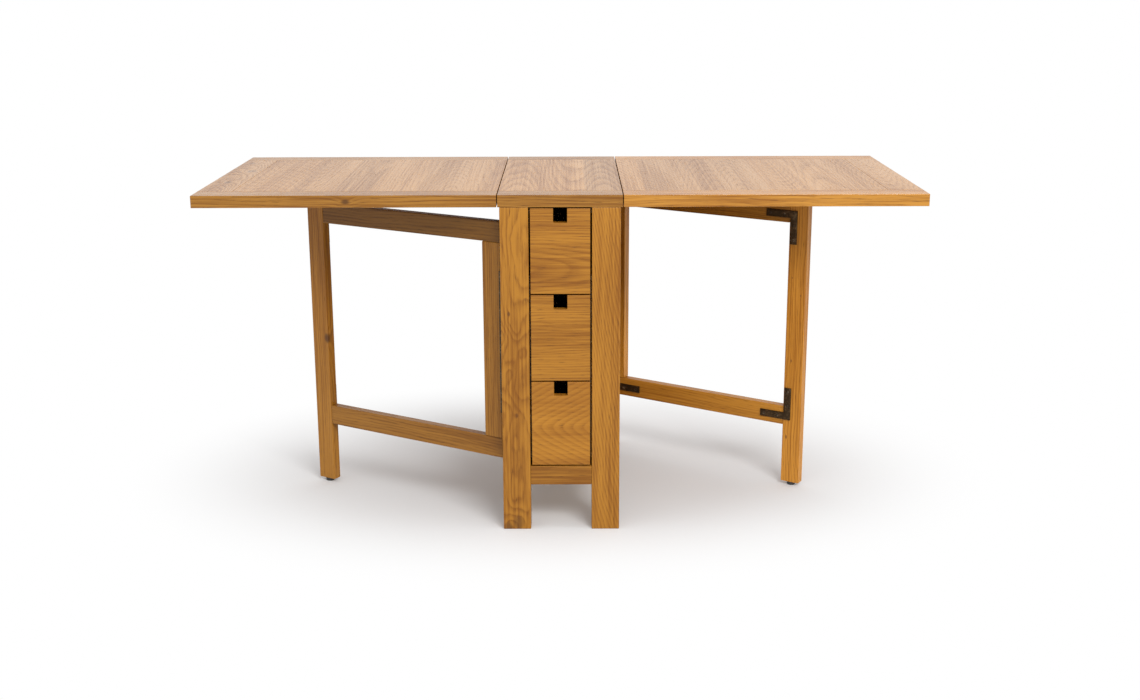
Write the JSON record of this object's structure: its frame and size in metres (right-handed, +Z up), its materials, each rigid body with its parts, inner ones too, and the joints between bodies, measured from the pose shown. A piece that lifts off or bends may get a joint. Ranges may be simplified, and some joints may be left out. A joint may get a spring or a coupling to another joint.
{
  "type": "drop leaf table",
  "caption": "Wooden drop leaf table with a narrow column of drawers between two hinged leaves, each leaf carried by a swinging gate leg.",
  "frame": {"origin": "on the floor under the middle of the table", "axes": "+X across the two leaves to the right, the drawers open towards -Y, +Z up"},
  "size_m": [1.556, 0.636, 0.75],
  "materials": {
    "bronzed_steel": "bronzed",
    "frame_oak": "clear satin lacquer",
    "gate_oak": "clear satin lacquer",
    "glide_plastic": "matte",
    "hinge_steel": "bronzed",
    "inner_wood": "plain sanded",
    "top_oak": "clear satin lacquer"
  },
  "bodies": {
    "frame": {"back_panel": "frame_oak", "bottom_board": "inner_wood", "bottom_rail_back": "frame_oak", "bottom_rail_front": "frame_oak", "gate_left_hinge_leg_half": "hinge_steel", "gate_right_hinge_leg_half": "hinge_steel", "leaf_left_hinge_top_half": "hinge_steel", "leaf_right_hinge_top_half": "hinge_steel", "leg_back_left": "frame_oak", "leg_back_right": "frame_oak", "leg_front_left": "frame_oak", "leg_front_right": "frame_oak", "runner_frame_left": "inner_wood", "runner_frame_right": "inner_wood", "side_panel_left": "frame_oak", "side_panel_right": "frame_oak", "top_centre_back_band": "top_oak", "top_centre_front_band": "top_oak", "top_centre_panel": "top_oak", "top_cleat_left": "inner_wood", "top_cleat_right": "inner_wood"},
    "drawer_bottom": {"drawer_bottom_bottom": "inner_wood", "drawer_bottom_box": "inner_wood", "drawer_bottom_front": "frame_oak"},
    "drawer_middle": {"drawer_middle_bottom": "inner_wood", "drawer_middle_box": "inner_wood", "drawer_middle_front": "frame_oak"},
    "drawer_top": {"drawer_top_bottom": "inner_wood", "drawer_top_box": "inner_wood", "drawer_top_front": "frame_oak"},
    "gate_left": {"gate_left_bracket_lower_inner": "bronzed_steel", "gate_left_bracket_lower_outer": "bronzed_steel", "gate_left_bracket_upper_inner": "bronzed_steel", "gate_left_bracket_upper_outer": "bronzed_steel", "gate_left_glide": "glide_plastic", "gate_left_hinge_gate_half": "hinge_steel", "gate_left_inner_post": "gate_oak", "gate_left_lower_rail": "gate_oak", "gate_left_outer_leg": "gate_oak", "gate_left_upper_rail": "gate_oak"},
    "gate_right": {"gate_right_bracket_lower_inner": "bronzed_steel", "gate_right_bracket_lower_outer": "bronzed_steel", "gate_right_bracket_upper_inner": "bronzed_steel", "gate_right_bracket_upper_outer": "bronzed_steel", "gate_right_glide": "glide_plastic", "gate_right_hinge_gate_half": "hinge_steel", "gate_right_inner_post": "gate_oak", "gate_right_lower_rail": "gate_oak", "gate_right_outer_leg": "gate_oak", "gate_right_upper_rail": "gate_oak"},
    "leaf_left": {"leaf_left_back_band": "top_oak", "leaf_left_end_board": "top_oak", "leaf_left_front_band": "top_oak", "leaf_left_hinge_leaf_half": "hinge_steel", "leaf_left_panel": "top_oak"},
    "leaf_right": {"leaf_right_back_band": "top_oak", "leaf_right_end_board": "top_oak", "leaf_right_front_band": "top_oak", "leaf_right_hinge_leaf_half": "hinge_steel", "leaf_right_panel": "top_oak"}
  },
  "joints": [
    {"name": "gate_left_hinge", "type": "hinge", "parent": "frame", "child": "gate_left", "pos_m": [-0.1314, -0.271, 0.4175], "axis": [0, 0, 1], "range_deg": [-58.7, 31.3]},
    {"name": "gate_right_hinge", "type": "hinge", "parent": "frame", "child": "gate_right", "pos_m": [0.1314, 0.271, 0.4175], "axis": [0, 0, 1], "range_deg": [-56.2, 33.8]},
    {"name": "leaf_left_hinge", "type": "hinge", "parent": "frame", "child": "leaf_left", "pos_m": [-0.1335, 0, 0.7199], "axis": [0, 1, 0], "range_deg": [0, 3]},
    {"name": "leaf_right_hinge", "type": "hinge", "parent": "frame", "child": "leaf_right", "pos_m": [0.1335, 0, 0.7199], "axis": [0, -1, 0], "range_deg": [0, 3]},
    {"name": "drawer_bottom_slide", "type": "slide", "parent": "frame", "child": "drawer_bottom", "axis": [0, -1, 0], "range_m": [0, 0.36]},
    {"name": "drawer_middle_slide", "type": "slide", "parent": "frame", "child": "drawer_middle", "axis": [0, -1, 0], "range_m": [0, 0.36]},
    {"name": "drawer_top_slide", "type": "slide", "parent": "frame", "child": "drawer_top", "axis": [0, -1, 0], "range_m": [0, 0.36]}
  ]
}
